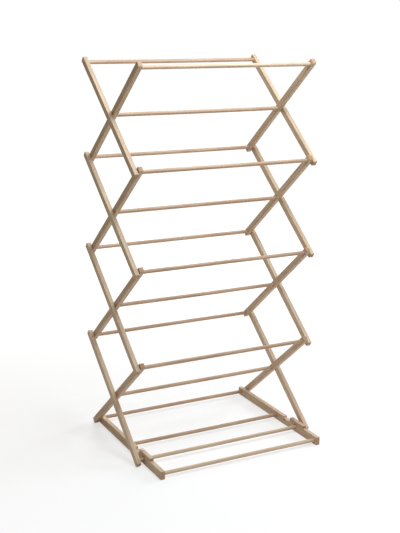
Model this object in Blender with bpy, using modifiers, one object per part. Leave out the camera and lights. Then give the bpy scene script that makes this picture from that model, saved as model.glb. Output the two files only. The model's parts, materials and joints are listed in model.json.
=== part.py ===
"""A folding wooden clothes drying rack: an accordion of eight crossed pairs of bars
joined by round rungs, standing on two floor rails that keep its feet apart.

Units are metres, +Z is up, +X is the rack's right, -Y is its front. The origin is on
the floor, under the middle of the rack's bounding box.
"""

import math

import bmesh
import bpy
from mathutils import Matrix, Vector

# ---------------------------------------------------------------- driving dimensions
HALF_INSIDE = 0.330  # middle of the rack to the inner face of an inner bar
BAR_THICKNESS = 0.016  # along X
BAR_WIDTH = 0.023  # in the plane that the bar swings in
BAR_PITCH = 0.546  # first hole to last hole of a bar
BAR_END = 0.020  # last hole to the bar's end
BAR_END_ROUND = 0.005
LAYER_GAP = 0.001  # between bars, and between bar and rail

TIERS = 4
TIER_HEIGHT = 0.345  # one crossed pair, knee to knee

RUNG_RADIUS = 0.007
BORE_RADIUS = 0.00745  # its flats clear the rung by 0.3 mm
BLIND_DEPTH = 0.011  # holes that don't come out on the far side
FIT_GAP = 0.0003
ROUND_SIDES = 16
EDGE_SEGMENTS = 3  # facets around a rounded edge
SHARP_ANGLE = math.radians(40)  # edges sharper than this aren't shaded smooth

RAIL_THICKNESS = 0.016
RAIL_HEIGHT = 0.031
RAIL_PIVOT_UP = 0.015  # underside of the rail to its back rung
RAIL_RUNG_UP = 0.0155  # underside of the rail to its middle and front rungs
RAIL_END = 0.017  # last rung to the rail's end
RAIL_END_ROUND = 0.003
MIDDLE_RUNG_BEHIND_FOOT = 0.143
FRONT_RUNG_AHEAD_OF_FOOT = 0.127
FOOT_CLEAR = 0.0005  # lowest point of the bars above the floor

NOTCH_HALF_WIDTH = 0.0074  # seat of the foot rung, open at the rail's top
RECESS_BEHIND_FOOT = (0.040, 0.084)  # shallow cut in the rail's top behind the latch
RECESS_DEPTH = 0.007
PEG_HOLE_BEHIND_FOOT = 0.080
PEG_HOLE_UP = 0.0185
PEG_HOLE_RADIUS = 0.004

LATCH_LENGTH = 0.093
LATCH_WIDTH = 0.016
LATCH_HEIGHT = 0.010
LATCH_ROUND = 0.0025
LATCH_BEHIND_FOOT = 0.041  # the latch's back end behind the foot rung
LATCH_SCREW_INSET = 0.019  # the screw from the latch's back end

SCREW_SHANK_RADIUS = 0.0018
SCREW_BORE_RADIUS = 0.0022
SCREW_HEAD_RADIUS = 0.0040
SCREW_HEAD_HEIGHT = 0.0022
SCREW_IN_RAIL = 0.012

CUT_OVER = 0.004  # how far a cutter runs past the surface that it opens
CUT_ROUND = 0.0005  # corners of the slots cut in a rail's top

BEECH = (0.62, 0.47, 0.33)
BEECH_DARK = (0.56, 0.41, 0.28)
STEEL = (0.62, 0.65, 0.68)

# ---------------------------------------------------------------- what follows from them
TIER_DEPTH = math.sqrt(BAR_PITCH**2 - TIER_HEIGHT**2)
BAR_ANGLE = math.atan2(TIER_HEIGHT, TIER_DEPTH)
INNER_X = HALF_INSIDE + BAR_THICKNESS / 2
OUTER_X = INNER_X + BAR_THICKNESS + LAYER_GAP
OUTER_FACE_X = OUTER_X - BAR_THICKNESS / 2
RAIL_X = HALF_INSIDE - LAYER_GAP - RAIL_THICKNESS / 2
RAIL_FACE_X = RAIL_X - RAIL_THICKNESS / 2


def rounded_reach(length, half_width, rounding, angle):
    """How far a bar's rounded end reaches past its pivot, along a direction at this angle to it."""
    straight = length - rounding
    side = half_width - rounding
    return straight * math.cos(angle) + side * math.sin(angle) + rounding


PIVOT_Z = FOOT_CLEAR + rounded_reach(BAR_END, BAR_WIDTH / 2, BAR_END_ROUND, math.pi / 2 - BAR_ANGLE)
BACK_REACH = rounded_reach(BAR_END, BAR_WIDTH / 2, BAR_END_ROUND, BAR_ANGLE)

# The rail hangs on the back rung and its front end rests on the floor.
RAIL_AHEAD = TIER_DEPTH + FRONT_RUNG_AHEAD_OF_FOOT + RAIL_END
CORNER_AHEAD = RAIL_AHEAD - RAIL_END_ROUND
CORNER_DOWN = RAIL_PIVOT_UP - RAIL_END_ROUND
CORNER_SLOPE = math.atan2(CORNER_DOWN, CORNER_AHEAD)
RAIL_TILT = math.asin((PIVOT_Z - RAIL_END_ROUND) / math.hypot(CORNER_AHEAD, CORNER_DOWN)) - CORNER_SLOPE
FRONT_REACH = (
    CORNER_AHEAD * math.cos(RAIL_TILT)
    + (RAIL_HEIGHT - RAIL_PIVOT_UP - RAIL_END_ROUND) * math.sin(RAIL_TILT)
    + RAIL_END_ROUND
)

# The back pivots stand where the whole rack is centred on Y = 0.
BACK_Y = (FRONT_REACH - BACK_REACH) / 2
FRONT_Y = BACK_Y - TIER_DEPTH
CROSSING_Y = (BACK_Y + FRONT_Y) / 2


def level(tiers_up):
    return PIVOT_Z + tiers_up * TIER_HEIGHT


# ---------------------------------------------------------------- scene and materials
for old in list(bpy.data.objects):
    bpy.data.objects.remove(old)

parts = bpy.data.collections.new("clothes_drying_rack")
cutters = bpy.data.collections.new("cutters")
cutters.hide_render = True
for collection in (parts, cutters):
    bpy.context.scene.collection.children.link(collection)


def material(name, colour, roughness, metallic=0.0):
    made = bpy.data.materials.new(name)
    made.use_nodes = True
    shader = made.node_tree.nodes["Principled BSDF"]
    shader.inputs["Base Color"].default_value = (*colour, 1.0)
    shader.inputs["Roughness"].default_value = roughness
    shader.inputs["Metallic"].default_value = metallic
    return made


beech_bar = material("beech_bar", BEECH, 0.55)
beech_rung = material("beech_rung", BEECH, 0.5)
beech_rail = material("beech_rail", BEECH_DARK, 0.55)
zinc_steel = material("zinc_steel", STEEL, 0.35, 1.0)


# ---------------------------------------------------------------- shapes
def put(name, mesh, finish, frame):
    """An object with this mesh, turned and placed by a matrix."""
    made = bpy.data.objects.new(name, mesh)
    mesh.materials.append(finish)
    made.matrix_world = frame
    parts.objects.link(made)
    return made


def block_mesh(name, size, rounding, edges_along):
    """A box centred on its origin, with the four edges along one axis rounded."""
    shape = bmesh.new()
    bmesh.ops.create_cube(shape, size=1.0)
    bmesh.ops.scale(shape, vec=size, verts=shape.verts)
    along = [
        edge
        for edge in shape.edges
        if abs((edge.verts[0].co - edge.verts[1].co).normalized()[edges_along]) > 0.5
    ]
    bmesh.ops.bevel(
        shape, geom=along, offset=rounding, segments=EDGE_SEGMENTS, affect="EDGES", profile=0.5
    )
    mesh = bpy.data.meshes.new(name)
    shape.to_mesh(mesh)
    shape.free()
    return mesh


def round_mesh(name, radius, low, high, axis, sides=ROUND_SIDES):
    """A round bar from low to high along X or Z."""
    shape = bmesh.new()
    bmesh.ops.create_cone(
        shape, cap_ends=True, segments=sides, radius1=radius, radius2=radius, depth=high - low
    )
    bmesh.ops.translate(shape, vec=(0, 0, (low + high) / 2), verts=shape.verts)
    if axis == "X":
        bmesh.ops.rotate(shape, matrix=Matrix.Rotation(math.pi / 2, 3, "Y"), verts=shape.verts)
    mesh = bpy.data.meshes.new(name)
    shape.to_mesh(mesh)
    shape.free()
    mesh.shade_smooth()
    mesh.set_sharp_from_angle(angle=SHARP_ANGLE)
    return mesh


def cut(target, mesh, frame):
    """Takes a mesh, placed by a matrix, out of the target."""
    cutter = bpy.data.objects.new(f"{target.name}_cutter", mesh)
    cutter.matrix_world = frame
    cutter.hide_render = True
    cutter.display_type = "WIRE"
    cutters.objects.link(cutter)
    boolean = target.modifiers.new("cut", "BOOLEAN")
    boolean.operation = "DIFFERENCE"
    boolean.solver = "EXACT"
    boolean.object = cutter


# ---------------------------------------------------------------- bars
def bar(name, side, layer_x, front_up, foot_z, blind):
    """One bar of a crossed pair. Its object's origin is its middle hole.

    front_up is True for an inner bar, whose upper end is at the front. blind holds
    which of its holes stop inside it, out of "top", "middle" and "bottom".
    """
    middle = Vector((side * layer_x, CROSSING_Y, foot_z + TIER_HEIGHT / 2))
    slope = BAR_ANGLE if not front_up else math.pi - BAR_ANGLE
    frame = Matrix.Translation(middle) @ Matrix.Rotation(slope, 4, "X")
    size = (BAR_THICKNESS, BAR_PITCH + 2 * BAR_END, BAR_WIDTH)
    made = put(name, block_mesh(name, size, BAR_END_ROUND, 0), beech_bar, frame)
    for hole, along in (("top", 0.5), ("middle", 0.0), ("bottom", -0.5)):
        inner = BAR_THICKNESS / 2 - BLIND_DEPTH if hole in blind else -BAR_THICKNESS
        drill = round_mesh(f"{name}_{hole}_drill", BORE_RADIUS, inner, BAR_THICKNESS, "X")
        if side > 0:
            drill.transform(Matrix.Rotation(math.pi, 4, "Z"))
        offset = Matrix.Translation((0, along * BAR_PITCH, 0))
        cut(made, drill, frame @ offset)
    return made


INNER_BLIND = {1: ("top",), TIERS: ("bottom",)}
for tier in range(1, TIERS + 1):
    foot_z = level(TIERS - tier)
    for side, side_name in ((-1, "left"), (1, "right")):
        bar(f"inner_bar_{tier}_{side_name}", side, INNER_X, True, foot_z, INNER_BLIND.get(tier, ()))
        bar(f"outer_bar_{tier}_{side_name}", side, OUTER_X, False, foot_z, ("top", "middle", "bottom"))


# ---------------------------------------------------------------- rungs
def rung(name, half_length, y, z):
    mesh = round_mesh(name, RUNG_RADIUS, -half_length, half_length, "X")
    return put(name, mesh, beech_rung, Matrix.Translation((0, y, z)))


IN_OUTER_BAR = OUTER_FACE_X + BLIND_DEPTH - FIT_GAP
IN_INNER_BAR = HALF_INSIDE + BLIND_DEPTH - FIT_GAP
IN_RAIL = RAIL_FACE_X + BLIND_DEPTH - FIT_GAP
SEAT_END = HALF_INSIDE - LAYER_GAP

rung("rung_top_back", IN_OUTER_BAR, BACK_Y, level(TIERS))
rung("rung_top_front", IN_INNER_BAR, FRONT_Y, level(TIERS))
for tier in range(1, TIERS + 1):
    knee_z = level(TIERS - tier)
    rung(f"rung_crossing_{tier}", IN_OUTER_BAR, CROSSING_Y, knee_z + TIER_HEIGHT / 2)
    if tier < TIERS:
        rung(f"rung_back_knee_{tier}", IN_OUTER_BAR, BACK_Y, knee_z)
        rung(f"rung_front_knee_{tier}", IN_OUTER_BAR, FRONT_Y, knee_z)
rung("rung_rail_back", IN_INNER_BAR, BACK_Y, PIVOT_Z)

# The foot rung is in three lengths: the seated one between the rails' outer faces, and
# a short one in each foot.
rung("rung_foot_seated", SEAT_END, FRONT_Y, PIVOT_Z)
for side, side_name in ((-1, "left"), (1, "right")):
    low, high = sorted((side * (SEAT_END + FIT_GAP), side * IN_OUTER_BAR))
    name = f"rung_foot_end_{side_name}"
    mesh = round_mesh(name, RUNG_RADIUS, low, high, "X")
    put(name, mesh, beech_rung, Matrix.Translation((0, FRONT_Y, PIVOT_Z)))


# ---------------------------------------------------------------- rails
# A rail's frame has its origin on the back rung and runs forwards along -Y.
RAIL_FRAME = Matrix.Translation((0, BACK_Y, PIVOT_Z)) @ Matrix.Rotation(RAIL_TILT, 4, "X")
RAIL_TOP = RAIL_HEIGHT - RAIL_PIVOT_UP
FOOT_IN_RAIL = RAIL_FRAME.inverted() @ Vector((0, FRONT_Y, PIVOT_Z))
LATCH_BACK_Y = FOOT_IN_RAIL.y + LATCH_BEHIND_FOOT
LATCH_PIVOT_Y = LATCH_BACK_Y - LATCH_SCREW_INSET


def rail(name, side):
    length = RAIL_AHEAD + RAIL_END
    size = (RAIL_THICKNESS, length, RAIL_HEIGHT)
    mesh = block_mesh(name, size, RAIL_END_ROUND, 0)
    centre = Vector((side * RAIL_X, (RAIL_END - RAIL_AHEAD) / 2, RAIL_HEIGHT / 2 - RAIL_PIVOT_UP))
    mesh.transform(Matrix.Translation(centre))
    made = put(name, mesh, beech_rail, RAIL_FRAME)

    reach = RAIL_FACE_X + BLIND_DEPTH
    blind = sorted((side * reach, side * (RAIL_FACE_X - CUT_OVER)))
    through = sorted((side * (SEAT_END + CUT_OVER), side * (RAIL_FACE_X - CUT_OVER)))
    rung_z = RAIL_RUNG_UP - RAIL_PIVOT_UP
    foot_y = FOOT_IN_RAIL.y
    drills = (
        ("back", BORE_RADIUS, through, 0, 0),
        ("middle", BORE_RADIUS, blind, foot_y + MIDDLE_RUNG_BEHIND_FOOT, rung_z),
        ("front", BORE_RADIUS, blind, foot_y - FRONT_RUNG_AHEAD_OF_FOOT, rung_z),
        ("peg", PEG_HOLE_RADIUS, through, foot_y + PEG_HOLE_BEHIND_FOOT, PEG_HOLE_UP - RAIL_PIVOT_UP),
        ("seat", NOTCH_HALF_WIDTH, through, foot_y, FOOT_IN_RAIL.z),
    )
    for hole, radius, span, y, z in drills:
        drill = round_mesh(f"{name}_{hole}_drill", radius, *span, "X")
        cut(made, drill, RAIL_FRAME @ Matrix.Translation((0, y, z)))

    def slot(slot_name, low_y, high_y, low_z):
        wide = RAIL_THICKNESS + 2 * CUT_OVER
        box = block_mesh(slot_name, (wide, high_y - low_y, RAIL_TOP + CUT_OVER - low_z), CUT_ROUND, 0)
        middle = (side * RAIL_X, (low_y + high_y) / 2, (low_z + RAIL_TOP + CUT_OVER) / 2)
        cut(made, box, RAIL_FRAME @ Matrix.Translation(middle))

    slot(f"{name}_notch", foot_y - NOTCH_HALF_WIDTH, foot_y + NOTCH_HALF_WIDTH, FOOT_IN_RAIL.z)
    recess_low, recess_high = (foot_y + ahead for ahead in RECESS_BEHIND_FOOT)
    slot(f"{name}_recess", recess_low, recess_high, RAIL_TOP - RECESS_DEPTH)

    pilot = round_mesh(f"{name}_pilot", SCREW_BORE_RADIUS, -SCREW_IN_RAIL - FIT_GAP, CUT_OVER, "Z")
    cut(made, pilot, RAIL_FRAME @ Matrix.Translation((side * RAIL_X, LATCH_PIVOT_Y, RAIL_TOP)))
    return made


for name, from_foot in (
    ("rung_rail_middle", MIDDLE_RUNG_BEHIND_FOOT),
    ("rung_rail_front", -FRONT_RUNG_AHEAD_OF_FOOT),
):
    in_rail = Vector((0, FOOT_IN_RAIL.y + from_foot, RAIL_RUNG_UP - RAIL_PIVOT_UP))
    seat = RAIL_FRAME @ in_rail
    rung(name, IN_RAIL, seat.y, seat.z)


# ---------------------------------------------------------------- latches and their screws
def latch(name, side):
    """The small block over the foot rung's seat. Its origin is on its screw's axis."""
    size = (LATCH_WIDTH, LATCH_LENGTH, LATCH_HEIGHT)
    mesh = block_mesh(name, size, LATCH_ROUND, 2)
    centre_y = LATCH_SCREW_INSET - LATCH_LENGTH / 2
    mesh.transform(Matrix.Translation((0, centre_y, LATCH_HEIGHT / 2 + FIT_GAP)))
    frame = RAIL_FRAME @ Matrix.Translation((side * RAIL_X, LATCH_PIVOT_Y, RAIL_TOP))
    made = put(name, mesh, beech_rail, frame)
    bore = round_mesh(f"{name}_bore", SCREW_BORE_RADIUS, -CUT_OVER, LATCH_HEIGHT + CUT_OVER, "Z")
    cut(made, bore, frame)
    return made


def latch_screw(name, side):
    """A pan-head wood screw, turned from its profile."""
    top = LATCH_HEIGHT + 2 * FIT_GAP
    profile = [
        (0.0, top + SCREW_HEAD_HEIGHT),
        (0.6 * SCREW_HEAD_RADIUS, top + 0.9 * SCREW_HEAD_HEIGHT),
        (SCREW_HEAD_RADIUS, top + 0.35 * SCREW_HEAD_HEIGHT),
        (SCREW_HEAD_RADIUS, top),
        (SCREW_SHANK_RADIUS, top),
        (SCREW_SHANK_RADIUS, SCREW_SHANK_RADIUS - SCREW_IN_RAIL),
        (0.0, -SCREW_IN_RAIL),
    ]
    mesh = bpy.data.meshes.new(name)
    edges = [(i, i + 1) for i in range(len(profile) - 1)]
    mesh.from_pydata([(x, 0, z) for x, z in profile], edges, [])
    frame = RAIL_FRAME @ Matrix.Translation((side * RAIL_X, LATCH_PIVOT_Y, RAIL_TOP))
    made = put(name, mesh, zinc_steel, frame)
    turn = made.modifiers.new("turn", "SCREW")
    turn.steps = turn.render_steps = ROUND_SIDES
    turn.use_merge_vertices = True
    turn.merge_threshold = 0.00001
    turn.use_smooth_shade = True
    return made


for side, side_name in ((-1, "left"), (1, "right")):
    rail(f"rail_{side_name}", side)
    latch(f"latch_{side_name}", side)
    latch_screw(f"latch_screw_{side_name}", side)

print(f"back pivot y {BACK_Y:.4f} z {PIVOT_Z:.4f}, foot y {FRONT_Y:.4f}")
print(f"rail tilt {math.degrees(RAIL_TILT):.3f} degrees, bar angle {math.degrees(BAR_ANGLE):.2f}")
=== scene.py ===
# %% [markdown]
# # A folding clothes drying rack in raw beech
# The rack is an accordion: eight bars cross in pairs on each side, round rungs run between
# the sides as its hinge pins, and two floor rails keep the feet apart. This lesson
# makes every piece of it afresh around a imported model, which fixes each size, place and
# hinge, and gives the wood its rings, rays, fibres and wear.

# %% Load the frame
import json
import math
import random

import bmesh
import bpy
from mathutils import Matrix, Vector


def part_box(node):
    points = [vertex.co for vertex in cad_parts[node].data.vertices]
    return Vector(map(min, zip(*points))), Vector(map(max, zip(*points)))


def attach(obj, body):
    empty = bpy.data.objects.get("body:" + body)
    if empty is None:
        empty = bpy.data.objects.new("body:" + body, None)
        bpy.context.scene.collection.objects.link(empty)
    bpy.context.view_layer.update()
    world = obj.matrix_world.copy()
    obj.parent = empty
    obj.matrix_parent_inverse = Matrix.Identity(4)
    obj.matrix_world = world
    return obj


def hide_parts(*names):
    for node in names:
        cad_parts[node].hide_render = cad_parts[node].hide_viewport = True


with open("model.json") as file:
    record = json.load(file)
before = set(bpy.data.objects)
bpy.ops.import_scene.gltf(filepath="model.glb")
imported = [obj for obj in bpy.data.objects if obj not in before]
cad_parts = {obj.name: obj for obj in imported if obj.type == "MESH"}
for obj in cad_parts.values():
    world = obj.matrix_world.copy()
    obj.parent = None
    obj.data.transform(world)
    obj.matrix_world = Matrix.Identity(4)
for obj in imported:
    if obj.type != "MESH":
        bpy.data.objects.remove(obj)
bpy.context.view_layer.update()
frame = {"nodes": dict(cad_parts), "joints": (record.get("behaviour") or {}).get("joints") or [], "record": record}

MM = 0.001

# %% [markdown]
# ## Camera
# A long lens a few metres away keeps the rack's uprights nearly parallel. The camera could
# track an empty, but a heading, a downward tilt and a slight roll say more plainly how a
# person held it. The small upward shift frames the tall rack without tilting further.

# %% Camera
CAMERA_AT = (-1.701, -3.193, 1.559)
HEADING = math.radians(27.66)  # to the right of straight ahead, +Y
DOWNWARD = math.radians(12.93)
ROLL = math.radians(0.30)

camera = bpy.data.objects.new("camera", bpy.data.cameras.new("camera"))
camera.data.lens = 67.86
camera.data.shift_y = -0.0338
camera.matrix_world = (
    Matrix.Translation(CAMERA_AT)
    @ Matrix.Rotation(-HEADING, 4, "Z")
    @ Matrix.Rotation(math.pi / 2 - DOWNWARD, 4, "X")
    @ Matrix.Rotation(ROLL, 4, "Z")
)
bpy.context.scene.collection.objects.link(camera)
bpy.context.scene.camera = camera
print("camera", round(camera.location.length, 2), "m from the rack's foot")

# %% [markdown]
# ## Studio
# The rack stands in a white studio. A soft box hangs close above it and a little in front,
# so the light falls off quickly towards the floor. A second one stands to the right, a
# weaker one behind, and the world fills the shadows, dimmer and warmer. A backdrop sheet
# could close the view, but here the floor glows for the camera alone, more and more with
# its distance, until it is as white as the world behind it and has no edge. Light Path
# nodes keep both glows away from the wood.

# %% Floor
FLOOR_SIZE = 40.0
FLOOR_DROP = 0.0005  # keeps the floor clear of the rails' undersides
FLOOR_WHITE = (0.86, 0.86, 0.86)
SHADOW_CATCHER = (0.38, 0.38, 0.38, 1.0)  # adds the studio's light and shadows to the glow
NEAR_GLOW = 0.64
FAR_GLOW = 0.95
GLOW_GROWS = (0.3, 3.5)  # metres from the rack's foot


def principled(name, colour, roughness):
    """A new material with a Principled BSDF, and that shader."""
    made = bpy.data.materials.new(name)
    made.use_nodes = True
    shader = made.node_tree.nodes["Principled BSDF"]
    shader.inputs["Base Color"].default_value = (*colour, 1.0)
    shader.inputs["Roughness"].default_value = roughness
    return made, shader


def lit_for_camera(tree, output, plain, seen):
    """Joins two shaders, so that the camera sees one and all other rays meet the other."""
    light_path = tree.nodes.new("ShaderNodeLightPath")
    either = tree.nodes.new("ShaderNodeMixShader")
    tree.links.new(light_path.outputs["Is Camera Ray"], either.inputs["Fac"])
    tree.links.new(plain, either.inputs[1])
    tree.links.new(seen, either.inputs[2])
    tree.links.new(either.outputs["Shader"], output.inputs["Surface"])


bpy.ops.object.select_all(action="DESELECT")
bpy.ops.mesh.primitive_plane_add(size=FLOOR_SIZE, location=(0, 0, -FLOOR_DROP))
floor = bpy.context.object
floor.name = "studio_floor"
floor_paint, shader = principled("floor_paint", FLOOR_WHITE, 0.9)
tree = floor_paint.node_tree
place = tree.nodes.new("ShaderNodeTexCoord")
reach = tree.nodes.new("ShaderNodeVectorMath")
reach.operation = "LENGTH"
tree.links.new(place.outputs["Object"], reach.inputs[0])
grow = tree.nodes.new("ShaderNodeMapRange")
grow.interpolation_type = "SMOOTHSTEP"
grow.inputs["From Min"].default_value, grow.inputs["From Max"].default_value = GLOW_GROWS
grow.inputs["To Min"].default_value = NEAR_GLOW
grow.inputs["To Max"].default_value = FAR_GLOW
tree.links.new(reach.outputs["Value"], grow.inputs["Value"])
glow = tree.nodes.new("ShaderNodeEmission")
tree.links.new(grow.outputs["Result"], glow.inputs["Strength"])
shade = tree.nodes.new("ShaderNodeBsdfDiffuse")
shade.inputs["Color"].default_value = SHADOW_CATCHER
both = tree.nodes.new("ShaderNodeAddShader")
tree.links.new(glow.outputs["Emission"], both.inputs[0])
tree.links.new(shade.outputs["BSDF"], both.inputs[1])
lit_for_camera(tree, tree.nodes["Material Output"], shader.outputs["BSDF"], both.outputs["Shader"])
floor.data.materials.append(floor_paint)
print("floor", FLOOR_SIZE, "m square")

# %% Lights
RACK_MIDDLE = Vector((0.0, 0.05, 0.7))
WORLD_WHITE = (1.0, 1.0, 1.0, 1.0)
FILL_COLOUR = (1.0, 0.94, 0.78, 1.0)
FILL_STRENGTH = 0.30
bpy.context.scene.view_settings.view_transform = "Standard"


def soft_box(name, place, size, power, colour):
    """A square area light, so many metres wide and of so many watts, that faces the rack."""
    lamp = bpy.data.lights.new(name, "AREA")
    lamp.shape = "SQUARE"
    lamp.size = size
    lamp.energy = power
    lamp.color = colour
    made = bpy.data.objects.new(name, lamp)
    made.location = place
    made.rotation_mode = "QUATERNION"
    made.rotation_quaternion = (RACK_MIDDLE - Vector(place)).to_track_quat("-Z", "Y")
    bpy.context.scene.collection.objects.link(made)


soft_box("key_light", (0.1, -0.6, 2.25), 0.8, 24, (0.84, 0.91, 1.0))
soft_box("side_light", (3.0, 0.0, 1.5), 1.5, 80, (0.86, 0.87, 1.0))
soft_box("back_light", (1.2, 3.0, 1.6), 1.5, 28, (1.0, 0.96, 0.9))

world = bpy.data.worlds.new("studio_white")
bpy.context.scene.world = world
world.use_nodes = True
sky = world.node_tree
seen = sky.nodes["Background"]
seen.inputs["Color"].default_value = WORLD_WHITE
fill = sky.nodes.new("ShaderNodeBackground")
fill.inputs["Color"].default_value = FILL_COLOUR
fill.inputs["Strength"].default_value = FILL_STRENGTH
lit_for_camera(sky, sky.nodes["World Output"], fill.outputs["Background"], seen.outputs["Background"])

# %% [markdown]
# ## Node helpers
# The wood needs many small nodes. They could be placed and linked one by one in the
# shader editor. A helper that adds a node, sets its values and takes its links in one
# call keeps each effect down to the lines that say what it does.

# %% Node helpers
def put(tree, kind, inputs=None, **settings):
    """A new node. An input that is given a socket is linked, and any other is set."""
    made = tree.nodes.new("ShaderNode" + kind)
    for name, value in settings.items():
        setattr(made, name, value)
    for name, value in (inputs or {}).items():
        if isinstance(value, bpy.types.NodeSocket):
            tree.links.new(value, made.inputs[name])
        else:
            made.inputs[name].default_value = value
    return made


def maths(tree, operation, *values):
    """One Math node's result."""
    return put(tree, "Math", dict(enumerate(values)), operation=operation).outputs[0]


def stretched(tree, vector, scale):
    """A vector multiplied axis by axis."""
    made = put(tree, "VectorMath", {0: vector, 1: scale}, operation="MULTIPLY")
    return made.outputs[0]


def ramp(tree, value, low, high, to_low=0.0, to_high=1.0):
    """A value brought smoothly from one range to another, and kept inside it."""
    inputs = {"Value": value, "From Min": low, "From Max": high, "To Min": to_low, "To Max": to_high}
    return put(tree, "MapRange", inputs, interpolation_type="SMOOTHSTEP").outputs["Result"]


def mixed(tree, share, first, second, blend="MIX"):
    """Two colours mixed by a share."""
    made = put(tree, "Mix", data_type="RGBA", blend_type=blend, clamp_factor=False)
    for socket, value in zip((made.inputs[0], made.inputs[6], made.inputs[7]), (share, first, second)):
        if isinstance(value, bpy.types.NodeSocket):
            tree.links.new(value, socket)
        else:
            socket.default_value = value
    return made.outputs[2]


def effect(name, inputs, outputs):
    """A new shader node group with named sockets: its tree, its inputs and its outputs."""
    tree = bpy.data.node_groups.new(name, "ShaderNodeTree")
    kinds = {True: "NodeSocketVector", False: "NodeSocketFloat"}
    for label, value in inputs.items():
        is_vector = value is None
        socket = tree.interface.new_socket(label, in_out="INPUT", socket_type=kinds[is_vector])
        if not is_vector:
            socket.default_value = value
    for label in outputs:
        tree.interface.new_socket(label, in_out="OUTPUT", socket_type="NodeSocketFloat")
    return tree, tree.nodes.new("NodeGroupInput").outputs, tree.nodes.new("NodeGroupOutput").inputs


def use(tree, group, **values):
    """Places a group in a tree. Spaces in its socket names are written as underscores."""
    made = tree.nodes.new("ShaderNodeGroup")
    made.node_tree = group
    for label, value in values.items():
        socket = made.inputs[label.replace("_", " ")]
        if isinstance(value, bpy.types.NodeSocket):
            tree.links.new(value, socket)
        else:
            socket.default_value = value
    return made.outputs


print("helpers ready")

# %% [markdown]
# ## Year rings
# A board shows the tree's year rings as lines along its faces and as arcs on its ends.
# A Wave texture draws such bands, but only straight ones. Here each point's distance from
# the middle of the trunk is measured, a little noise makes it waver, and the remainder
# after whole rings rises slowly and drops at once, as late wood gives way to early wood.
# The same sum then fits every face of a bar and its end grain.

# %% Year rings
WAVERS_PER_METRE = (38, 3, 38)  # across, along and across the grain
LATE_WOOD_STARTS = 0.15  # shares of a year's growth
LATE_WOOD_ENDS = 0.92

year_rings, given, out = effect("year_rings", {"Place": None, "Spacing": 0.002, "Waver": 0.001}, ["Ring"])
across = put(year_rings, "SeparateXYZ", {"Vector": given["Place"]}).outputs
slow = put(
    year_rings,
    "TexNoise",
    {"Vector": stretched(year_rings, given["Place"], WAVERS_PER_METRE), "Scale": 1.0, "Detail": 2.0},
).outputs["Fac"]
waver = maths(year_rings, "MULTIPLY", maths(year_rings, "SUBTRACT", slow, 0.5), given["Waver"])
square_x = maths(year_rings, "MULTIPLY", across["X"], across["X"])
square_z = maths(year_rings, "MULTIPLY", across["Z"], across["Z"])
radius = maths(year_rings, "SQRT", maths(year_rings, "ADD", square_x, square_z))
turns = maths(year_rings, "DIVIDE", maths(year_rings, "ADD", radius, waver), given["Spacing"])
year = maths(year_rings, "FRACT", turns)
rise = ramp(year_rings, year, LATE_WOOD_STARTS, LATE_WOOD_ENDS)
drop = ramp(year_rings, year, LATE_WOOD_ENDS, 1.0, 1.0, 0.0)
year_rings.links.new(maths(year_rings, "MULTIPLY", rise, drop), out["Ring"])
print("year_rings has", len(year_rings.nodes), "nodes")

# %% [markdown]
# ## Fibres
# Wood is a bundle of fibres, so its colour and its polish vary quickly across the grain and
# slowly along it. Noise on stretched coordinates gives that, at any fineness, so one
# group serves the fine fibres, the broad stains and the rare dark streaks.

# %% Fibres
fibres, given, out = effect(
    "fibres", {"Place": None, "Across": 800.0, "Along": 30.0, "Detail": 3.0}, ["Fibre"]
)
scale = put(fibres, "CombineXYZ", {"X": given["Across"], "Y": given["Along"], "Z": given["Across"]})
noise = put(
    fibres,
    "TexNoise",
    {
        "Vector": stretched(fibres, given["Place"], scale.outputs[0]),
        "Scale": 1.0,
        "Detail": given["Detail"],
        "Roughness": 0.62,
    },
)
fibres.links.new(noise.outputs["Fac"], out["Fibre"])
print("fibres has", len(fibres.nodes), "nodes")

# %% [markdown]
# ## Ray flecks
# Beech is known by its rays, short dark dashes that lie along the grain. They could be
# scattered as tiny faces, but there are thousands on a bar. A Voronoi texture on
# stretched coordinates has one cell for each possible dash, and each cell's random
# colour decides whether the dash is there.

# %% Ray flecks
ray_flecks, given, out = effect(
    "ray_flecks", {"Place": None, "Width": 0.0006, "Length": 0.003, "Share": 0.5}, ["Fleck"]
)
per_width = maths(ray_flecks, "DIVIDE", 1.0, given["Width"])
per_length = maths(ray_flecks, "DIVIDE", 1.0, given["Length"])
scale = put(ray_flecks, "CombineXYZ", {"X": per_width, "Y": per_length, "Z": per_width})
cells = put(
    ray_flecks,
    "TexVoronoi",
    {"Vector": stretched(ray_flecks, given["Place"], scale.outputs[0]), "Scale": 1.0},
)
DASH_REACH = (0.18, 0.42)  # of a cell: where a dash starts to fade, and where it ends
dash = ramp(ray_flecks, cells.outputs["Distance"], *DASH_REACH, 1.0, 0.0)
chance = put(ray_flecks, "SeparateColor", {"Color": cells.outputs["Color"]}).outputs[0]
there = maths(ray_flecks, "LESS_THAN", chance, given["Share"])
ray_flecks.links.new(maths(ray_flecks, "MULTIPLY", dash, there), out["Fleck"])
print("ray_flecks has", len(ray_flecks.nodes), "nodes")

# %% [markdown]
# ## Worn edges and end grain
# Hands polish a bar's long edges, and its ends drink more light than its sides. Blender's
# Pointiness could find the edges, but it depends on how finely the mesh is cut. A bar is
# nearly a box, so the distance from each of the box's planes says as much: on the surface
# one distance is nothing, and the next one is the way to the nearest edge.

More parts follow.
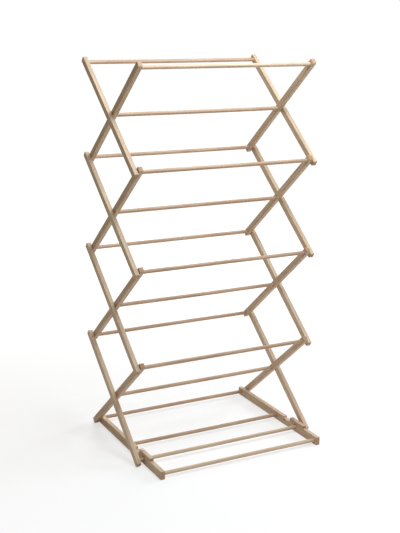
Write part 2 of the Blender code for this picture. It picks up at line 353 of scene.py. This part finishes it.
# %% Worn edges and end grain
edges_and_ends, given, out = effect(
    "edges_and_ends",
    {"Place": None, "Half Size": None, "Breakup": 0.5, "Width": 0.0025},
    ["Edge", "End"],
)
END_REACH = (0.0002, 0.0016)  # how far end grain fades in from a piece's end
from_middle = put(edges_and_ends, "VectorMath", {0: given["Place"]}, operation="ABSOLUTE").outputs[0]
inward = put(edges_and_ends, "VectorMath", {0: given["Half Size"], 1: from_middle}, operation="SUBTRACT")
depth = put(edges_and_ends, "SeparateXYZ", {"Vector": inward.outputs[0]}).outputs
near = maths(edges_and_ends, "MINIMUM", depth["X"], depth["Z"])
far = maths(edges_and_ends, "MAXIMUM", depth["X"], depth["Z"])
to_edge = maths(edges_and_ends, "MAXIMUM", near, maths(edges_and_ends, "MINIMUM", far, depth["Y"]))
ragged = maths(edges_and_ends, "MULTIPLY", given["Breakup"], given["Width"])
edge = ramp(edges_and_ends, maths(edges_and_ends, "ADD", to_edge, ragged), 0.0, given["Width"], 1.0, 0.0)
edges_and_ends.links.new(edge, out["Edge"])
edges_and_ends.links.new(ramp(edges_and_ends, depth["Y"], *END_REACH, 1.0, 0.0), out["End"])
print("edges_and_ends has", len(edges_and_ends.nodes), "nodes")

# %% [markdown]
# ## Beech
# Each piece carries four attributes: place, its own coordinates from before it was stood
# in the rack, which keep the grain along the piece whichever way it leans; stock, the spot
# in the trunk that it was sawn from, which gives every piece another figure; tone, from
# brown heartwood to pale sapwood; and bored, which marks the walls of drilled holes, where
# the wood is darkened as painted shade. Object coordinates could not follow a bar's slope. All the
# wood shares one recipe, with its own values for bars, rungs, rails and latches.

# %% Beech
HEARTWOOD = (0.56, 0.39, 0.265, 1.0)
SAPWOOD = (0.70, 0.55, 0.39, 1.0)
LATE_WOOD = (0.80, 0.70, 0.60, 1.0)
# painted shade: the dark colour that the walls of drilled holes are multiplied by, as if shade lay in them
PAINTED_HOLE_SHADE = (0.20, 0.12, 0.08, 1.0)
RAY_BROWN = (0.62, 0.46, 0.36, 1.0)
STREAK_BROWN = (0.66, 0.50, 0.38, 1.0)
END_GRAIN = (0.74, 0.64, 0.54, 1.0)
POLISHED = (1.10, 1.07, 1.03, 1.0)
RINGS = {"Spacing": 2.1 * MM, "Waver": 4.2 * MM}
FINE_FIBRES = {"Across": 1500.0, "Along": 26.0, "Detail": 3.0}
STAINS = {"Across": 75.0, "Along": 7.0, "Detail": 2.0}
STREAKS = {"Across": 260.0, "Along": 9.0, "Detail": 1.0}
FLECKS = {"Width": 0.7 * MM, "Length": 3.4 * MM, "Share": 0.42}
STAIN_SHIFT = 0.35  # how far a stain moves the wood between heartwood and sapwood
FIBRE_SHARE = 0.35
FLECK_SHARE = 0.24
EDGE_SHARE = 0.6
RELIEF = 0.04 * MM


def beech(name, half_size, ring_share, streak_share, roughness, edge_width):
    """Raw beech for one kind of piece. half_size is half its length along each own axis."""
    made, shader = principled(name, HEARTWOOD[:3], roughness)
    tree = made.node_tree
    own = put(tree, "Attribute", attribute_name="place").outputs["Vector"]
    stock = put(tree, "Attribute", attribute_name="stock").outputs["Vector"]
    tone = put(tree, "Attribute", attribute_name="tone").outputs["Fac"]
    bored = put(tree, "Attribute", attribute_name="bored").outputs["Fac"]
    sawn = put(tree, "VectorMath", {0: own, 1: stock}, operation="ADD").outputs[0]

    rings = use(tree, year_rings, Place=sawn, **RINGS)["Ring"]
    fine = use(tree, fibres, Place=sawn, **FINE_FIBRES)["Fibre"]
    stain = use(tree, fibres, Place=sawn, **STAINS)["Fibre"]
    streak = use(tree, fibres, Place=sawn, **STREAKS)["Fibre"]
    flecks = use(tree, ray_flecks, Place=sawn, **FLECKS)["Fleck"]
    ends = use(
        tree, edges_and_ends, Place=own, Half_Size=half_size, Breakup=stain, Width=edge_width
    )

    hue = maths(tree, "ADD", tone, ramp(tree, stain, 0.3, 0.7, -STAIN_SHIFT, STAIN_SHIFT))
    colour = mixed(tree, hue, HEARTWOOD, SAPWOOD)
    colour = mixed(tree, maths(tree, "MULTIPLY", rings, ring_share), colour, LATE_WOOD, "MULTIPLY")
    dark_fibres = ramp(tree, fine, 0.48, 0.78, 0.0, FIBRE_SHARE)
    colour = mixed(tree, dark_fibres, colour, LATE_WOOD, "MULTIPLY")
    colour = mixed(tree, maths(tree, "MULTIPLY", flecks, FLECK_SHARE), colour, RAY_BROWN, "MULTIPLY")
    rare_streaks = ramp(tree, streak, 0.62, 0.78, 0.0, streak_share)
    colour = mixed(tree, rare_streaks, colour, STREAK_BROWN, "MULTIPLY")
    colour = mixed(tree, ends["End"], colour, END_GRAIN, "MULTIPLY")
    colour = mixed(tree, maths(tree, "MULTIPLY", ends["Edge"], EDGE_SHARE), colour, POLISHED, "MULTIPLY")
    # painted shade: the walls of holes are darkened, as if shade lay in them
    colour = mixed(tree, bored, colour, PAINTED_HOLE_SHADE, "MULTIPLY")
    tree.links.new(colour, shader.inputs["Base Color"])

    rough = ramp(tree, fine, 0.3, 0.75, roughness - 0.05, roughness + 0.09)
    rough = maths(tree, "SUBTRACT", rough, maths(tree, "MULTIPLY", ends["Edge"], 0.10))
    tree.links.new(rough, shader.inputs["Roughness"])
    relief = maths(tree, "MULTIPLY", fine, 0.6)
    relief = maths(tree, "SUBTRACT", relief, maths(tree, "MULTIPLY", flecks, 0.25))
    relief = maths(tree, "SUBTRACT", relief, maths(tree, "MULTIPLY", rings, 0.15))
    bump = put(tree, "Bump", {"Height": relief, "Strength": 0.3, "Distance": RELIEF})
    tree.links.new(bump.outputs["Normal"], shader.inputs["Normal"])
    shader.inputs["Specular IOR Level"].default_value = 0.45
    print(name, len(tree.nodes), "nodes")
    return made


# %% [markdown]
# ## Zinc-plated steel
# The latch screws are bright zinc over pressed steel. A plain metal would look like
# chrome at this size, so fine noise breaks its polish and a slight blue keeps it zinc.

# %% Zinc-plated steel
DULL_ZINC = (0.54, 0.58, 0.62, 1.0)
BRIGHT_ZINC = (0.68, 0.71, 0.74, 1.0)
CRYSTALS_PER_METRE = 2600.0

zinc, shader = principled("zinc_steel", DULL_ZINC[:3], 0.34)
tree = zinc.node_tree
own = put(tree, "TexCoord").outputs["Object"]
crystals = put(tree, "TexNoise", {"Vector": own, "Scale": CRYSTALS_PER_METRE, "Detail": 2.0}).outputs["Fac"]
tree.links.new(ramp(tree, crystals, 0.3, 0.7, 0.26, 0.46), shader.inputs["Roughness"])
plate = mixed(tree, ramp(tree, crystals, 0.35, 0.65), DULL_ZINC, BRIGHT_ZINC)
tree.links.new(plate, shader.inputs["Base Color"])
shader.inputs["Metallic"].default_value = 1.0
print("zinc_steel", len(tree.nodes), "nodes")

# %% [markdown]
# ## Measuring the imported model
# Nothing here has a place of its own: the middle of a rung's box is where its bars turn,
# and three such middles give a bar's slope. A bar leans, so its box says little about
# its section. Its corners are therefore read back along the bar's own axes.

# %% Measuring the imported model
TIERS = 4
SIDES = {"left": -1, "right": 1}


def middle_of(node):
    """The middle of a node's box."""
    low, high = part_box(node)
    return (low + high) / 2


def own_box(node, placed):
    """A node's lowest and highest corner along the axes of the matrix that places it."""
    back = placed.inverted()
    points = [back @ corner.co for corner in frame["nodes"][node].data.vertices]
    low = Vector([min(p[axis] for p in points) for axis in range(3)])
    high = Vector([max(p[axis] for p in points) for axis in range(3)])
    return low, high


def placing(middle, towards):
    """The matrix of a piece whose own X stays +X and whose own Y points that way."""
    along = Vector((0, towards.y, towards.z)).normalized()
    face = Vector((1, 0, 0)).cross(along)
    turn = Matrix((Vector((1, 0, 0)), along, face)).transposed()
    return Matrix.Translation(middle) @ turn.to_4x4()


def bar_rungs(kind, tier):
    """The rungs through a bar's foot, middle and head."""
    last, first = tier == TIERS, tier == 1
    if kind == "inner":
        foot = "rung_rail_back" if last else f"rung_back_knee_{tier}"
        head = "rung_top_front" if first else f"rung_front_knee_{tier - 1}"
    else:
        foot = "rung_foot_seated" if last else f"rung_front_knee_{tier}"
        head = "rung_top_back" if first else f"rung_back_knee_{tier - 1}"
    return foot, f"rung_crossing_{tier}", head


def bar_place(kind, tier, side_name):
    """The matrix of a bar: its origin is in its middle hole, its own Y points to its head."""
    foot, crossing, head = (middle_of(rung) for rung in bar_rungs(kind, tier))
    crossing.x = middle_of(f"{kind}_bar_{tier}_{side_name}").x
    return placing(crossing, head - foot)


low, high = own_box("outer_bar_2_left", bar_place("outer", 2, "left"))
BAR_SIZE = high - low
foot, _, head = (middle_of(rung) for rung in bar_rungs("outer", 2))
BAR_PITCH = (head - foot).length
RUNG_RADIUS = (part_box("rung_top_back")[1].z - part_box("rung_top_back")[0].z) / 2
print("bar", [round(side / MM, 1) for side in BAR_SIZE], "pitch", round(BAR_PITCH / MM, 1))
print("rung radius", round(RUNG_RADIUS / MM, 2))

# %% [markdown]
# ## Shop helpers
# Every wooden piece starts as a block or a round rod and is then planed, rounded and
# drilled. These helpers are the shop's machines. Each begins by deselecting everything,
# because an operator works on all that is selected.

# %% Shop helpers
OVER = 4 * MM  # how far a cutter runs past the surface that it opens
BORE_SIDES = 48
SMOOTH_ANGLE = math.radians(35)
BORED = {}  # each piece's holes, by the piece's name
WALL_REACH = 1.02  # of a hole's radius: corners nearer than this to its axis are its wall


def only(made):
    """Leaves one object selected and active."""
    bpy.ops.object.select_all(action="DESELECT")
    made.select_set(True)
    bpy.context.view_layer.objects.active = made


def begin(name, add, **where):
    """A new primitive, alone in the selection, with its place in its mesh."""
    bpy.ops.object.select_all(action="DESELECT")
    add(**where)
    made = bpy.context.object
    made.name = made.data.name = name
    bpy.ops.object.transform_apply(location=True, rotation=True, scale=True)
    return made


def choose(made, kind, wanted):
    """Opens edit mode with just the edges or faces that pass a test selected."""
    if made.mode != "EDIT":
        only(made)
        bpy.ops.object.mode_set(mode="EDIT")
    bpy.ops.mesh.select_mode(type=kind)
    bpy.ops.mesh.select_all(action="DESELECT")
    cage = bmesh.from_edit_mesh(made.data)
    found = [item for item in (cage.edges if kind == "EDGE" else cage.faces) if wanted(item)]
    for item in found:
        item.select_set(True)
    cage.select_flush_mode()
    bmesh.update_edit_mesh(made.data)
    return len(found)


def leave():
    bpy.ops.object.mode_set(mode="OBJECT")


def runs_along(edge, axis):
    return abs((edge.verts[0].co - edge.verts[1].co).normalized()[axis]) > 0.999


def in_plane(edge, axis, *values):
    """Whether an edge lies in one of the planes where this coordinate has a value."""
    return any(all(abs(v.co[axis] - value) < 1e-5 for v in edge.verts) for value in values)


def bevel(width, segments):
    bpy.ops.mesh.bevel(offset=width, segments=segments, profile=0.5, affect="EDGES")


def block(name, low, high):
    """A box from its lowest to its highest corner."""
    low, high = Vector(low), Vector(high)
    made = begin(name, bpy.ops.mesh.primitive_cube_add, size=1.0)
    choose(made, "FACE", lambda face: True)
    bpy.ops.transform.resize(value=high - low, center_override=(0, 0, 0))
    bpy.ops.transform.translate(value=(low + high) / 2)
    leave()
    return made


def cut(target, cutter):
    """Takes the cutter's shape out of the target, and throws the cutter away."""
    only(target)
    bpy.ops.object.modifier_add(type="BOOLEAN")
    boolean = target.modifiers[-1]
    boolean.operation = "DIFFERENCE"
    boolean.object = cutter
    bpy.ops.object.modifier_apply(modifier=boolean.name)
    bpy.data.objects.remove(cutter)


def drill(target, radius, bottom, mouth, spot, axis="X", eased=0.5 * MM, through=False):
    """Bores a hole along X or Z from bottom to mouth, with the rim at its mouth eased.

    spot holds its other two coordinates. A hole right through has both its rims eased.
    """
    forward = Vector((1, 0, 0)) if axis == "X" else Vector((0, 0, 1))
    out = 1 if mouth > bottom else -1
    start = bottom + out * eased if through else bottom
    middle = (start + mouth - out * eased) / 2
    flare = eased + OVER  # the cone runs on past the surface, so no face of it lies there
    wider = 1 + flare / radius
    if axis == "X":
        where = {"location": (middle, *spot), "rotation": (0, math.pi / 2, 0)}
        spread = (1, wider, wider)
    else:
        where = {"location": (*spot, middle)}
        spread = (wider, wider, 1)
    centre = Vector(where["location"])
    add = bpy.ops.mesh.primitive_cylinder_add
    depth = abs(mouth - start) - eased
    cutter = begin("drill", add, vertices=BORE_SIDES, radius=radius, depth=depth, **where)
    for way in (out, -out) if through else (out,):
        choose(cutter, "FACE", lambda face: face.normal.dot(forward) * way > 0.9)
        bpy.ops.mesh.extrude_region_move(TRANSFORM_OT_translate={"value": forward * way * flare})
        bpy.ops.transform.resize(value=spread, center_override=centre)
    leave()
    cut(target, cutter)
    BORED.setdefault(target.name, []).append((axis, Vector(spot), radius))


def bore_through(target, radius, half, spot):
    """A hole right through along X, with the rims on both sides eased."""
    drill(target, radius, -half, half, spot, through=True)


def in_hole(corner, holes):
    """Whether a corner of a mesh lies on the wall or the floor of a hole."""
    for axis, spot, radius in holes:
        across = corner.yz if axis == "X" else corner.xy
        if (across - spot).length < radius * WALL_REACH:
            return True
    return False


def polish(made, along="Y"):
    """Smooths soft edges, keeps flat faces flat, records each corner's own place.

    The place is counted from the piece's middle and has the grain along Y, so a piece
    that lies along X swaps the two. Bored is 1 on the walls of holes.
    """
    only(made)
    bpy.ops.object.shade_smooth_by_angle(angle=SMOOTH_ANGLE)
    bpy.ops.object.modifier_add(type="WEIGHTED_NORMAL")
    made.modifiers[-1].keep_sharp = True
    bpy.ops.object.modifier_apply(modifier=made.modifiers[-1].name)
    corners = [Vector(corner) for corner in made.bound_box]
    middle = (corners[0] + corners[6]) / 2
    place = made.data.attributes.new("place", "FLOAT_VECTOR", "POINT")
    for corner, spot in zip(made.data.vertices, place.data):
        from_middle = corner.co - middle
        spot.vector = from_middle if along == "Y" else from_middle.yxz
    holes = BORED.get(made.name, [])
    bored = made.data.attributes.new("bored", "FLOAT", "POINT")
    for corner, value in zip(made.data.vertices, bored.data):
        value.value = float(in_hole(corner.co, holes))
    print(made.name, "has", sum(v.value for v in bored.data), "corners in", len(holes), "holes")
    check = bmesh.new()
    check.from_mesh(made.data)
    open_edges = sum(not edge.is_manifold for edge in check.edges)
    print(made.name, len(made.data.polygons), "faces,", open_edges, "open edges,")
    print("    volume", round(check.calc_volume(signed=True) * 1e6, 1), "cubic centimetres")
    check.free()


# %% [markdown]
# ## Placing copies
# A shape is made once, at the origin, and every piece of that kind is a copy with a mesh
# of its own. The copy's place goes into its mesh, so its object stays at the origin, as
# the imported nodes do. Stock and tone are drawn at random from a fixed seed, so that no
# two bars show the same grain and each run shows the same rack.

# %% Placing copies
draw = random.Random(7)
HEART_FROM_MIDDLE = 0.055  # nearest that any piece was sawn to the trunk's middle
SAWN_ACROSS = 0.1  # how much further out it may lie
SAWN_ALONG = 2.0  # metres of trunk that the pieces are spread over
TONE_SPREAD = 0.12


def place_copy(master, node, placed, finish, tone=0.5):
    """A copy of a master, placed by a matrix, that stands for a node and rides as it does."""
    mesh = master.data.copy()
    mesh.name = node
    mesh.transform(placed)
    angle = draw.uniform(0, 2 * math.pi)
    from_heart = HEART_FROM_MIDDLE + draw.uniform(0.0, SAWN_ACROSS)
    up_trunk = draw.uniform(0, SAWN_ALONG)
    spot = Vector((from_heart * math.cos(angle), up_trunk, from_heart * math.sin(angle)))
    stock = mesh.attributes.new("stock", "FLOAT_VECTOR", "POINT")
    stock.data.foreach_set("vector", [value for _ in mesh.vertices for value in spot])
    shade = mesh.attributes.new("tone", "FLOAT", "POINT")
    own_tone = tone + draw.uniform(-TONE_SPREAD, TONE_SPREAD)
    shade.data.foreach_set("value", [own_tone] * len(mesh.vertices))
    mesh.materials.clear()
    mesh.materials.append(finish)
    made = bpy.data.objects.new("made_" + node, mesh)
    bpy.context.scene.collection.objects.link(made)
    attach(made, BODY_OF[node])
    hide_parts(node)
    return made


BODY_OF = {node: body for body, nodes in frame["record"]["behaviour"]["bodies"].items() for node in nodes}
HALF_TURN = Matrix.Rotation(math.pi, 4, "Y")  # about a piece's own length

# %% [markdown]
# ## Bars
# A bar is planed square, its four end corners are rounded over by a template, its long
# edges are eased with a block plane, and three holes are bored. An inner bar turns on its
# rungs, so its holes go through. An outer bar is glued to its rungs, whose holes stop
# short of its show face. Bars could share one mesh with different modifiers, but four
# masters are plainer: outer, inner, and the two inner bars that end in a blind hole. A
# right-hand bar is the left-hand one given half a turn about its length.

# %% Bars
BORE_RADIUS = RUNG_RADIUS + 0.45 * MM
BLIND_DEPTH = 11 * MM
END_ROUND = 5 * MM
EASED_EDGE = 0.9 * MM


def bar_master(name, blind):
    """A bar at the origin. blind names the holes that stop inside it, open at its +X face."""
    half = BAR_SIZE / 2
    made = block(name, -half, half)
    choose(made, "EDGE", lambda edge: runs_along(edge, 0))
    bevel(END_ROUND, 6)
    choose(made, "EDGE", lambda edge: in_plane(edge, 0, -half.x, half.x))
    bevel(EASED_EDGE, 3)
    leave()
    for hole, share in (("foot", -0.5), ("middle", 0.0), ("head", 0.5)):
        spot = (share * BAR_PITCH, 0.0)
        if hole in blind:
            drill(made, BORE_RADIUS, half.x - BLIND_DEPTH, half.x, spot)
        else:
            bore_through(made, BORE_RADIUS, half.x, spot)
    polish(made)
    return made


masters = {
    "outer": bar_master("outer_bar", ("foot", "middle", "head")),
    "inner": bar_master("inner_bar", ()),
    "inner_top": bar_master("inner_bar_top", ("head",)),
    "inner_bottom": bar_master("inner_bar_bottom", ("foot",)),
}

# %% Bars in the rack
beech_bar = beech("beech_bar", BAR_SIZE / 2, 0.55, 0.35, 0.58, 0.0028)
BAR_TONE = {"outer": 0.92, "inner": 0.54}

for tier in range(1, TIERS + 1):
    for kind in ("inner", "outer"):
        form = {1: "inner_top", TIERS: "inner_bottom"}.get(tier, "inner") if kind == "inner" else "outer"
        for side_name, side in SIDES.items():
            node = f"{kind}_bar_{tier}_{side_name}"
            placed = bar_place(kind, tier, side_name)
            if side > 0:
                placed = placed @ HALF_TURN
            place_copy(masters[form], node, placed, beech_bar, BAR_TONE[kind])

# %% [markdown]
# ## Rungs
# A rung is a dowel with its ends chamfered, so that it finds its hole. A rod this thin is
# never quite straight once it has dried, so cross cuts are made along it and its middle is
# pulled sideways by a hair with proportional editing, which bends the rest to match.

# %% Rungs
ROD_SIDES = 40
CHAMFER = 0.8 * MM
BOW = 0.7 * MM
CROSS_CUTS = 8
SHORT_ROD = 0.1  # shorter rods stay straight
RUNG_TONE = 0.02
ODD_RUNG_TONES = {
    "rung_top_back": -0.15,
    "rung_top_front": 0.35,
    "rung_foot_seated": 0.78,
    "rung_rail_front": 0.82,
}
RUNG_HALF = (RUNG_RADIUS, 1.0, RUNG_RADIUS)  # its ends are hidden, so they are put out of reach


def rod_master(name, low_x, high_x, bow):
    """A dowel along X, bowed towards +Z."""
    length = high_x - low_x
    made = begin(
        name,
        bpy.ops.mesh.primitive_cylinder_add,
        vertices=ROD_SIDES,
        radius=RUNG_RADIUS,
        depth=length,
        location=((low_x + high_x) / 2, 0, 0),
        rotation=(0, math.pi / 2, 0),
    )
    choose(made, "EDGE", lambda edge: in_plane(edge, 0, low_x, high_x))
    bevel(CHAMFER, 2)
    if bow:
        for cut_number in range(1, CROSS_CUTS):
            choose(made, "FACE", lambda face: True)
            at = low_x + length * cut_number / CROSS_CUTS
            bpy.ops.mesh.bisect(plane_co=(at, 0, 0), plane_no=(1, 0, 0))
        middle = (low_x + high_x) / 2
        choose(made, "EDGE", lambda edge: in_plane(edge, 0, middle))
        bpy.ops.transform.translate(
            value=(0, 0, bow),
            use_proportional_edit=True,
            proportional_edit_falloff="SMOOTH",
            proportional_size=length / 2,
        )
    leave()
    polish(made, along="X")
    return made


def rung_span(node):
    """Where a rung starts and ends along X."""
    low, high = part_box(node)
    return round(low.x, 5), round(high.x, 5)


beech_rung = beech("beech_rung", RUNG_HALF, 0.42, 0.6, 0.5, 0.0001)
rods = {}
rung_nodes = sorted(node for node in BODY_OF if node.startswith("rung_"))
for node in rung_nodes:
    span = rung_span(node)
    if span not in rods:
        whole = span[1] - span[0] > SHORT_ROD
        rods[span] = rod_master(f"rod_{len(rods)}", *span, BOW if whole else 0.0)
    spot = middle_of(node)
    spot.x = 0.0
    roll = Matrix.Rotation(draw.uniform(0, 2 * math.pi), 4, "X")
    placed = Matrix.Translation(spot) @ roll
    tone = ODD_RUNG_TONES.get(node, RUNG_TONE)
    place_copy(rods[span], node, placed, beech_rung, tone)
print(len(rung_nodes), "rungs from", len(rods), "masters")

# %% [markdown]
# ## Floor rails
# A rail is a taller bar that lies on edge. Its back end turns on the lowest rung, two
# rungs are glued into its inner face, and the foot rung of the crossed bars drops into a
# round-bottomed notch in its top. Behind the notch a shallow recess leaves the latch's
# heel free, and a small hole takes a peg. The notch could be a drilled hole sawn open.
# Here its cutter is a block whose two lower edges are rounded until they nearly meet,
# which makes the round seat and the way into it in one cut.

# %% Floor rails
RAIL_END_ROUND = 3 * MM
NOTCH_HALF_WIDTH = RUNG_RADIUS + 0.4 * MM
NOTCH_ROUND = NOTCH_HALF_WIDTH * 0.98  # a full half circle would leave no flat to bevel
RECESS_BEHIND_FOOT = (40 * MM, 84 * MM)
RECESS_DEPTH = 7 * MM
RECESS_ROUND = 1.5 * MM
RECESS_LIP_ROUND = 5 * MM
PEG_HOLE_BEHIND_FOOT = 80 * MM
PEG_HOLE_UP = 3.5 * MM  # above the rail's back rung
PEG_HOLE_RADIUS = 4 * MM
PILOT_RADIUS = 2.2 * MM
PILOT_DEPTH = 12.3 * MM
RAIL_TONE = {"left": 0.8, "right": 0.5}
JOINTS = {joint["name"]: joint for joint in frame["joints"]}


def rail_place(side_name):
    """The matrix of a rail: its origin is on the back rung, its own Z is up."""
    origin = middle_of("rung_rail_back")
    origin.x = middle_of(f"rail_{side_name}").x
    return placing(origin, middle_of("rung_rail_middle") - middle_of("rung_rail_front"))


def slot_cutter(low_y, high_y, low_z, half_x, rounding):
    """A block that opens a rail's top, with its two lower edges rounded."""
    cutter = block("slot_cutter", (-half_x - OVER, low_y, low_z), (half_x + OVER, high_y, RAIL_TOP + OVER))
    choose(cutter, "EDGE", lambda edge: runs_along(edge, 0) and in_plane(edge, 2, low_z))
    bevel(rounding, 8)
    leave()
    return cutter


def rail_master(side_name, side):
    """One side's rail at the origin, the matrix that places it, and half its size."""
    placed = rail_place(side_name)
    low, high = own_box(f"rail_{side_name}", placed)
    back = placed.inverted()
    spot = {node: back @ middle_of(node) for node in ("rung_rail_middle", "rung_rail_front")}
    foot = back @ middle_of("rung_foot_seated")
    screw = back @ Vector(JOINTS[f"latch_{side_name}_turn"]["pos_m"])

    made = block(f"rail_{side_name}_shape", low, high)
    choose(made, "EDGE", lambda edge: runs_along(edge, 0))
    bevel(RAIL_END_ROUND, 4)
    choose(made, "EDGE", lambda edge: in_plane(edge, 0, low.x, high.x))
    bevel(EASED_EDGE, 3)
    leave()

    seat = slot_cutter(
        foot.y - NOTCH_HALF_WIDTH,
        foot.y + NOTCH_HALF_WIDTH,
        foot.z - NOTCH_HALF_WIDTH,
        high.x,
        NOTCH_ROUND,
    )
    cut(made, seat)
    heel, lip = (foot.y + behind for behind in RECESS_BEHIND_FOOT)
    cut(made, slot_cutter(heel, lip, high.z - RECESS_DEPTH, high.x, RECESS_ROUND))
    choose(made, "EDGE", lambda edge: in_plane(edge, 1, lip) and in_plane(edge, 2, high.z))
    bevel(RECESS_LIP_ROUND, 5)
    leave()

    inner = -side * high.x  # the face towards the rack's middle
    for node in spot:
        drill(made, BORE_RADIUS, inner + side * BLIND_DEPTH, inner, (spot[node].y, spot[node].z))
    bore_through(made, BORE_RADIUS, high.x, (0.0, 0.0))
    bore_through(made, PEG_HOLE_RADIUS, high.x, (foot.y + PEG_HOLE_BEHIND_FOOT, PEG_HOLE_UP))
    drill(made, PILOT_RADIUS, high.z - PILOT_DEPTH, high.z, (screw.x, screw.y), "Z", 0.2 * MM)
    polish(made)
    return made, placed, (high - low) / 2


RAIL_TOP = own_box("rail_left", rail_place("left"))[1].z
rails = {side_name: rail_master(side_name, side) for side_name, side in SIDES.items()}
RAIL_HALF = rails["left"][2]
beech_rail = beech("beech_rail", RAIL_HALF, 0.5, 0.3, 0.58, 0.0028)
for side_name, (shape, placed, _) in rails.items():
    place_copy(shape, f"rail_{side_name}", placed, beech_rail, RAIL_TONE[side_name])
    bpy.data.objects.remove(shape)
print("rail half size", [round(half / MM, 1) for half in RAIL_HALF])

# %% [markdown]
# ## Latches
# A latch is an offcut of the same beech that turns on one screw. Its corners are rounded,
# so that a thumb can push it, and its hole is bored a little wider than the screw. Both
# sides use the same shape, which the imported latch's own axes place.

# %% Latches
LATCH_CORNER = 2.5 * MM
LATCH_EASE = 0.8 * MM
LATCH_TONE = 0.2


def latch_place(side_name):
    """The matrix of a latch: its origin is on its screw's axis, at the rail's top."""
    origin = Vector(JOINTS[f"latch_{side_name}_turn"]["pos_m"])
    return placing(origin, middle_of("rung_rail_middle") - middle_of("rung_rail_front"))


low, high = own_box("latch_left", latch_place("left"))
LATCH_HALF = (high - low) / 2
latch_shape = block("latch_shape", low, high)
choose(latch_shape, "EDGE", lambda edge: runs_along(edge, 2))
bevel(LATCH_CORNER, 5)
choose(latch_shape, "EDGE", lambda edge: in_plane(edge, 2, low.z, high.z))
bevel(LATCH_EASE, 3)
leave()
drill(latch_shape, PILOT_RADIUS, low.z - OVER, high.z, (0.0, 0.0), "Z", 0.3 * MM)
polish(latch_shape)
beech_latch = beech("beech_latch", LATCH_HALF, 0.6, 0.4, 0.55, 0.002)
for side_name in SIDES:
    placed = latch_place(side_name)
    place_copy(latch_shape, f"latch_{side_name}", placed, beech_latch, LATCH_TONE)
bpy.data.objects.remove(latch_shape)
print("latch half size", [round(half / MM, 1) for half in LATCH_HALF])

# %% [markdown]
# ## Latch screws
# A pan-head wood screw starts as its head. The rim is bevelled until it domes, the bottom
# face is inset and drawn down into the shank and its point, and two thin blocks cut the
# cross for the driver. A Screw modifier could turn the whole profile, but a driver's cross
# is easier to cut in a head that is already there.

# %% Latch screws
SHANK_RADIUS = 1.8 * MM
POINT_LENGTH = 3 * MM
POINT_WIDTH = 0.12  # of the shank's width
HEAD_ABOVE_LATCH = 0.6 * MM
CROSS_HALF = (2.1 * MM, 0.4 * MM)
CROSS_DEPTH = 1.3 * MM
DOME = 0.42  # share of the head's radius that the dome takes
HEAD_SIDES = 40

placed = latch_place("left")
low, high = own_box("latch_screw_left", placed)
HEAD_RADIUS = high.x
head_bottom = LATCH_HALF.z * 2 + HEAD_ABOVE_LATCH
screw_shape = begin(
    "screw_shape",
    bpy.ops.mesh.primitive_cylinder_add,
    vertices=HEAD_SIDES,
    radius=HEAD_RADIUS,
    depth=high.z - head_bottom,
    location=(0, 0, (high.z + head_bottom) / 2),
)
choose(screw_shape, "EDGE", lambda edge: in_plane(edge, 2, high.z))
bpy.ops.mesh.bevel(offset=DOME * HEAD_RADIUS, segments=5, profile=0.5, affect="EDGES")
choose(screw_shape, "FACE", lambda face: face.normal.z < -0.9)
bpy.ops.mesh.inset(thickness=HEAD_RADIUS - SHANK_RADIUS)
drop = {"value": (0, 0, low.z + POINT_LENGTH - head_bottom)}
bpy.ops.mesh.extrude_region_move(TRANSFORM_OT_translate=drop)
bpy.ops.mesh.extrude_region_move(TRANSFORM_OT_translate={"value": (0, 0, -POINT_LENGTH)})
bpy.ops.transform.resize(value=(POINT_WIDTH, POINT_WIDTH, 1), center_override=(0, 0, low.z))
leave()
for long_half, thin_half in (CROSS_HALF, CROSS_HALF[::-1]):
    corner = Vector((long_half, thin_half, 0))
    deep = Vector((0, 0, high.z - CROSS_DEPTH))
    cut(screw_shape, block("cross_cutter", deep - corner, corner + Vector((0, 0, high.z + OVER))))
polish(screw_shape)
for side_name in SIDES:
    place_copy(screw_shape, f"latch_screw_{side_name}", latch_place(side_name), zinc)
bpy.data.objects.remove(screw_shape)
print("screw head", round(HEAD_RADIUS * 2 / MM, 1), "mm across")

# %% [markdown]
# ## Finish
# The masters are thrown away.

# %% Finish
for made in [*masters.values(), *rods.values()]:
    bpy.data.objects.remove(made)
